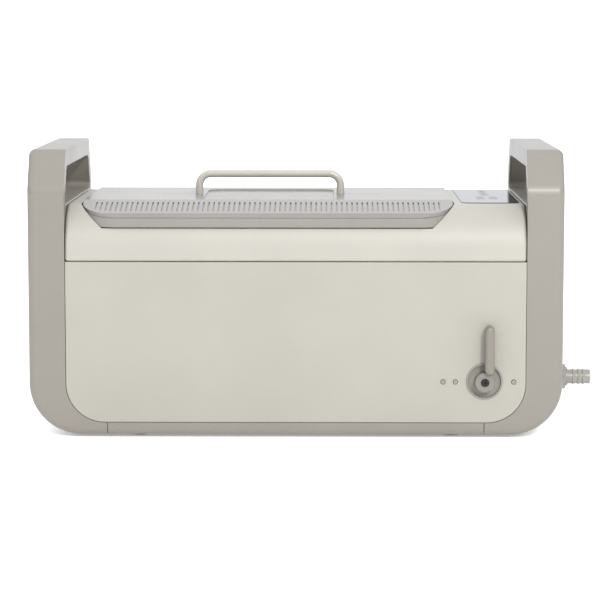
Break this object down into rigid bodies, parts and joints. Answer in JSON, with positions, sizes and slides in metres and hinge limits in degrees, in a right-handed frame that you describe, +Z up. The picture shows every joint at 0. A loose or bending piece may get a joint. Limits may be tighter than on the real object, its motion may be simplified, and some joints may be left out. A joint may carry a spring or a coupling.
{
  "type": "ultrasonic cleaner",
  "caption": "Bench-top ultrasonic cleaner with hand-hold side frames, lift-off ribbed lid with rod handle, basket in a steel tank, touch panel, drain lever and side hose barb.",
  "frame": {"origin": "centre of the bounding box, on the plane that the feet stand on", "axes": "+X to the user's right towards the drain outlet, +Y to the rear, +Z up; the front panel and the lever face -Y"},
  "size_m": [0.5934, 0.32, 0.303],
  "materials": {
    "frame_plastic": "fine-textured moulded ABS, warm grey",
    "body_plastic": "satin moulded ABS, cream",
    "lid_plastic": "satin moulded ABS, light grey",
    "trim_plastic": "satin moulded ABS, warm grey",
    "outlet_plastic": "moulded nylon, grey",
    "valve_plastic": "moulded nylon, off-white",
    "black_plastic": "moulded, black",
    "rocker_plastic": "polished, black",
    "capacitor_sleeve": "shrink sleeve, dark blue",
    "touch_glass": "back-printed toughened glass, glossy",
    "circuit_board": "epoxy laminate, green",
    "coated_rod": "powder-coated steel rod, light grey",
    "stainless_steel": "brushed",
    "zinc_steel": "zinc plated",
    "black_steel": "black oxide",
    "aluminium": "machined",
    "spring_brass": "plain",
    "piezo_ceramic": "silvered ceramic",
    "silicone": "translucent grey silicone",
    "heater_silicone": "red-brown silicone",
    "hose_rubber": "braided black hose",
    "black_rubber": "plain",
    "ptfe": "plain"
  },
  "bodies": {
    "housing": {"base_tray": "frame_plastic", "board_capacitors": "capacitor_sleeve", "board_heatsink": "aluminium", "board_standoffs": "spring_brass", "board_transformer": "black_plastic", "control_board": "circuit_board", "control_glass": "touch_glass", "cover_screws": "zinc_steel", "display_module": "black_plastic", "drain_fitting": "stainless_steel", "drain_hose": "hose_rubber", "drain_nut": "zinc_steel", "driver_board": "circuit_board", "fan_frame": "black_plastic", "fan_guard": "zinc_steel", "feet": "black_rubber", "foot_screws": "zinc_steel", "frame_liner_left": "frame_plastic", "frame_liner_right": "frame_plastic", "front_panel": "body_plastic", "heater_pads": "heater_silicone", "hose_clips": "zinc_steel", "inlet_pins": "spring_brass", "outlet_nut": "outlet_plastic", "outlet_pipe": "outlet_plastic", "panel_screws": "stainless_steel", "power_inlet": "black_plastic", "rear_panel": "body_plastic", "side_frame_left": "frame_plastic", "side_frame_right": "frame_plastic", "switch_body": "black_plastic", "tank": "stainless_steel", "tank_seal": "silicone", "temperature_sensor": "black_plastic", "top_cover": "body_plastic", "touch_springs": "spring_brass", "transducer_back_masses": "zinc_steel", "transducer_bolts": "zinc_steel", "transducer_front_masses": "aluminium", "transducer_piezo_rings": "piezo_ceramic", "valve_body": "valve_plastic", "valve_bracket": "zinc_steel", "valve_escutcheon": "body_plastic", "valve_nut": "zinc_steel", "valve_seats": "ptfe"},
    "basket": {"basket": "stainless_steel", "basket_grips": "stainless_steel"},
    "lid": {"lid_shell": "lid_plastic", "lid_skirt": "lid_plastic", "lid_plugs": "black_plastic", "lid_liner": "stainless_steel", "lid_seal": "silicone", "lid_screws": "stainless_steel", "lid_handle": "coated_rod"},
    "drain_lever": {"valve_lever": "trim_plastic", "lever_screw": "black_steel", "valve_stem": "stainless_steel", "valve_ball": "stainless_steel"},
    "fan_rotor": {"fan_rotor": "black_plastic"},
    "switch_rocker": {"switch_rocker": "rocker_plastic"}
  },
  "joints": [
    {"name": "basket_lift", "type": "slide", "parent": "housing", "child": "basket", "axis": [0, 0, 1], "range_m": [0, 0.2]},
    {"name": "lid_lift", "type": "slide", "parent": "basket", "child": "lid", "axis": [0, 0, 1], "range_m": [0, 0.15]},
    {"name": "drain_lever_turn", "type": "hinge", "parent": "housing", "child": "drain_lever", "pos_m": [0.1826, -0.14, 0.0607], "axis": [0, -1, 0], "range_deg": [0, 90]},
    {"name": "fan_spin", "type": "hinge", "parent": "housing", "child": "fan_rotor", "pos_m": [0.1793, 0.145, 0.148], "axis": [0, 1, 0], "continuous": true},
    {"name": "switch_rock", "type": "hinge", "parent": "housing", "child": "switch_rocker", "pos_m": [0.1793, 0.1535, 0.084], "axis": [1, 0, 0], "range_deg": [0, 16]}
  ]
}
